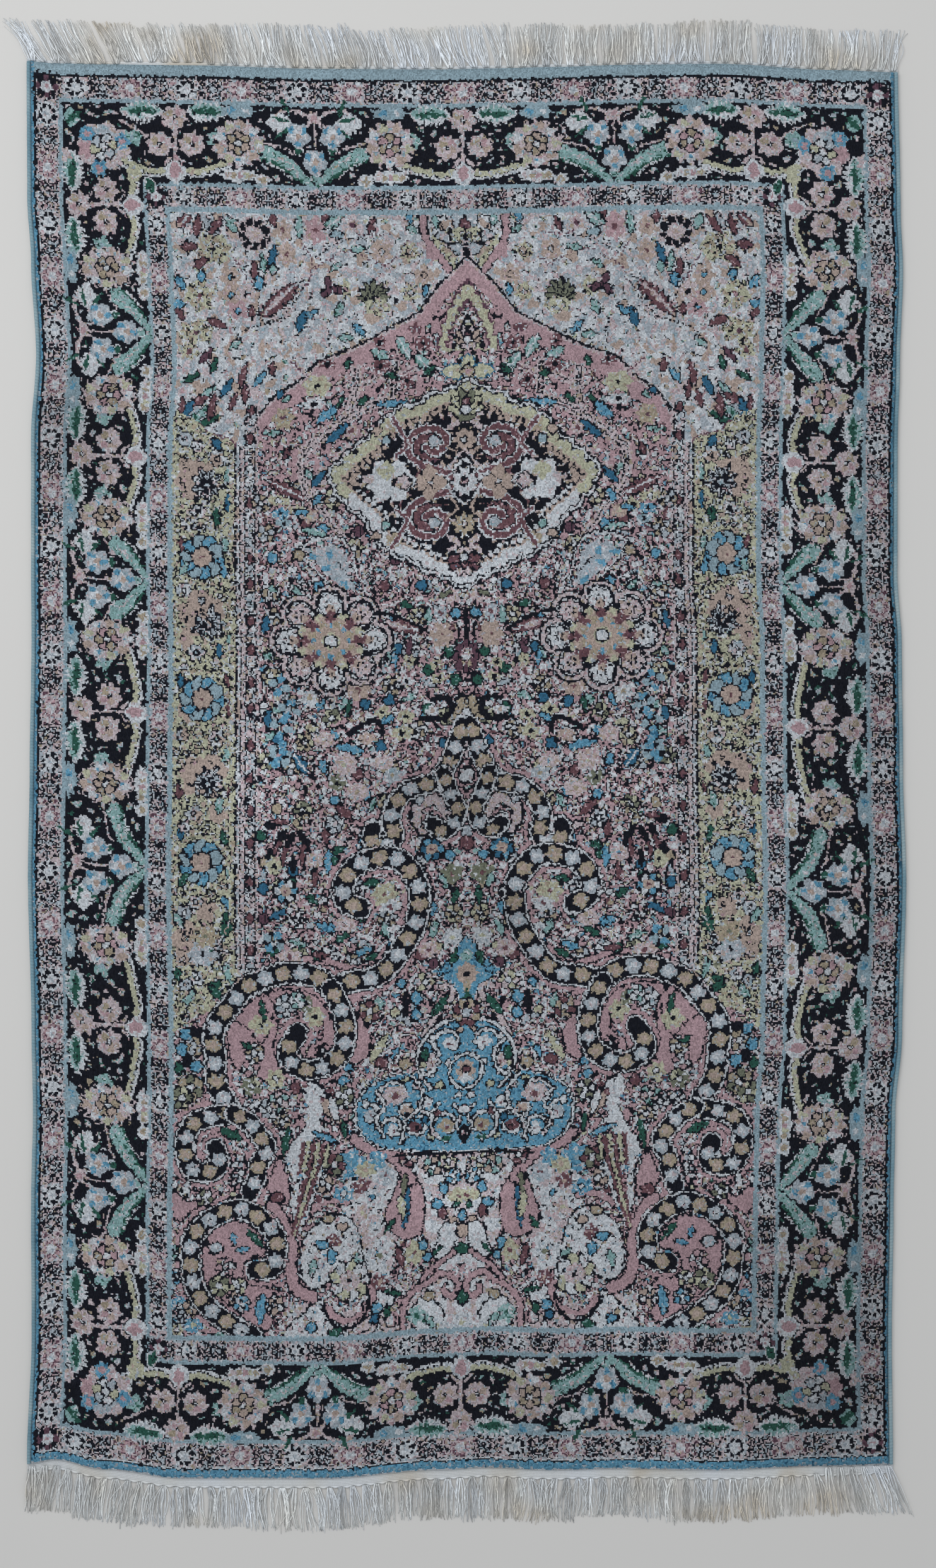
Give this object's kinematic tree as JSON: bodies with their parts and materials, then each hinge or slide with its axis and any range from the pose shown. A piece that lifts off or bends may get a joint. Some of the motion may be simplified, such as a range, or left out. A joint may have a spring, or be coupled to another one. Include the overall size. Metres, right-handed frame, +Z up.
{
  "type": "kashmir rug",
  "caption": "Rectangular hand-knotted pile rug with an arched field, floral borders, overcast sides and a knotted fringe at each end.",
  "frame": {"origin": "under the middle of the whole rug, fringe included, on the surface that it lies on", "axes": "+Y up the rug's length towards the head of the arch, +X across it, +Z up from the surface, pile on top"},
  "size_m": [0.9746, 1.6346, 0.0075],
  "materials": {
    "pile": "knotted silk pile in muted ivory, rose, camel, sky blue and navy, softly lustrous",
    "binding_yarn": "pale blue overcast yarn, matt",
    "fringe_yarn": "undyed off-white twisted yarn, matt"
  },
  "bodies": {
    "root": {"rug_body": "pile", "selvedge_left": "binding_yarn", "selvedge_right": "binding_yarn", "fringe_top": "fringe_yarn", "fringe_bottom": "fringe_yarn"}
  },
  "joints": []
}
